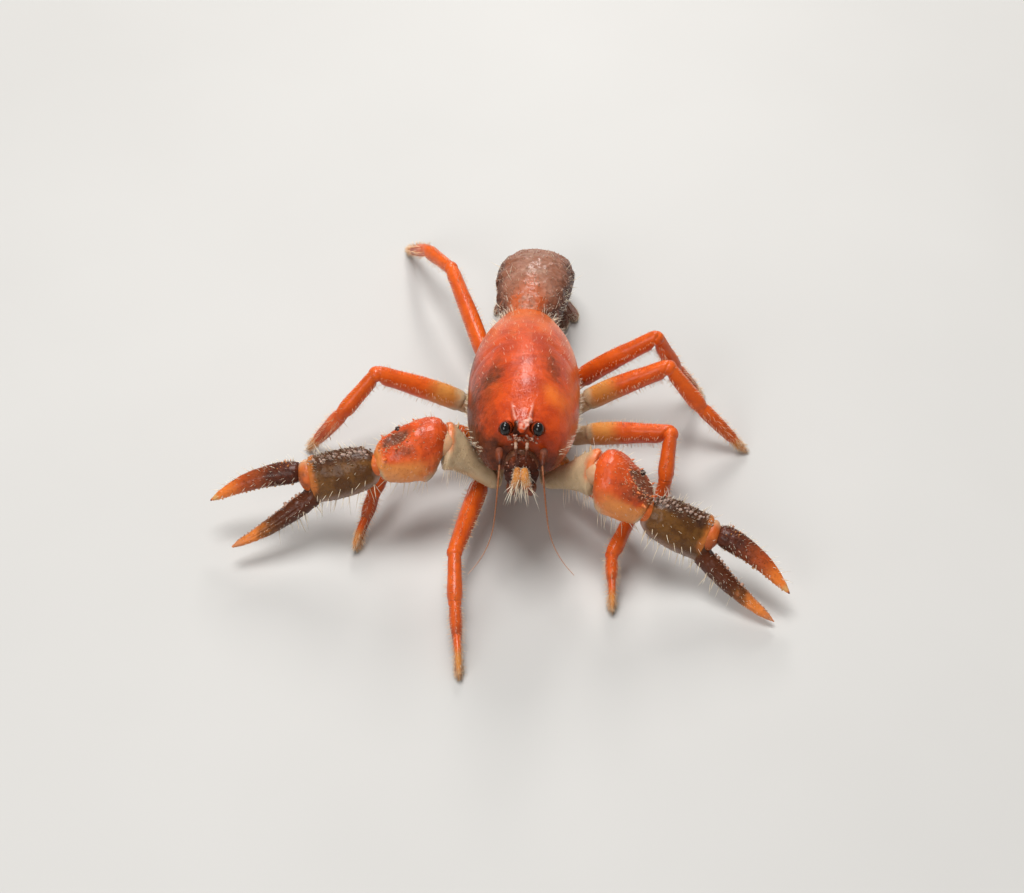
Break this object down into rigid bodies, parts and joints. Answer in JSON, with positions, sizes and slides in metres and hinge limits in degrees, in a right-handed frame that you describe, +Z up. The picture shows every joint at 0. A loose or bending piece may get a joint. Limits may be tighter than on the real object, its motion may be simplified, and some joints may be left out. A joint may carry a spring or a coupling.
{
  "type": "burrowing crayfish",
  "caption": "Small orange burrowing crayfish at life size, walking on its legs with both claws held out to the sides and its tail curled under.",
  "frame": {"origin": "on the floor under the middle of the model's box", "axes": "+Z up, the head faces -Y, the animal's left side is +X"},
  "size_m": [0.0518, 0.0532, 0.0161],
  "materials": {
    "shell_orange": "wet red-orange shell",
    "shell_cream": "smooth cream shell",
    "shell_brown": "dull red-brown shell",
    "claw_brown": "dark brown shell with orange tips",
    "eye_black": "glossy black",
    "feeler": "thin red-brown feeler"
  },
  "bodies": {
    "root": {"carapace_head": "shell_orange", "carapace_thorax": "shell_orange", "sternum": "shell_brown", "eye_R": "eye_black", "eye_L": "eye_black", "mouth_plate": "shell_brown", "antenna_base_R": "shell_orange", "antenna_base_L": "shell_orange", "antenna_R": "feeler", "antenna_L": "feeler", "antennule_R": "feeler", "antennule_L": "feeler", "maxilliped_R": "shell_orange", "maxilliped_L": "shell_orange", "abdomen_1": "shell_brown", "abdomen_2": "shell_brown", "abdomen_3": "shell_brown", "abdomen_4": "shell_brown", "abdomen_5": "shell_brown", "abdomen_6": "shell_brown", "telson": "shell_brown", "uropod_inner_R": "shell_brown", "uropod_inner_L": "shell_brown", "uropod_outer_R": "shell_brown", "uropod_outer_L": "shell_brown", "leg_R2_upper": "shell_orange", "leg_R2_lower": "shell_orange", "leg_R3_upper": "shell_orange", "leg_R3_lower": "shell_orange", "leg_R4_upper": "shell_orange", "leg_R4_lower": "shell_orange", "leg_R5_upper": "shell_orange", "leg_R5_lower": "shell_orange", "leg_L2_upper": "shell_orange", "leg_L2_lower": "shell_orange", "leg_L3_upper": "shell_orange", "leg_L3_lower": "shell_orange", "leg_L4_upper": "shell_orange", "leg_L4_lower": "shell_orange", "leg_L5_upper": "shell_orange", "leg_L5_lower": "shell_orange", "claw_R_ischium": "shell_cream", "claw_R_merus": "shell_cream", "claw_R_carpus": "shell_orange", "claw_R_palm": "claw_brown", "claw_R_finger": "claw_brown", "claw_L_ischium": "shell_cream", "claw_L_merus": "shell_cream", "claw_L_carpus": "shell_orange", "claw_L_palm": "claw_brown", "claw_L_finger": "claw_brown"}
  },
  "joints": []
}
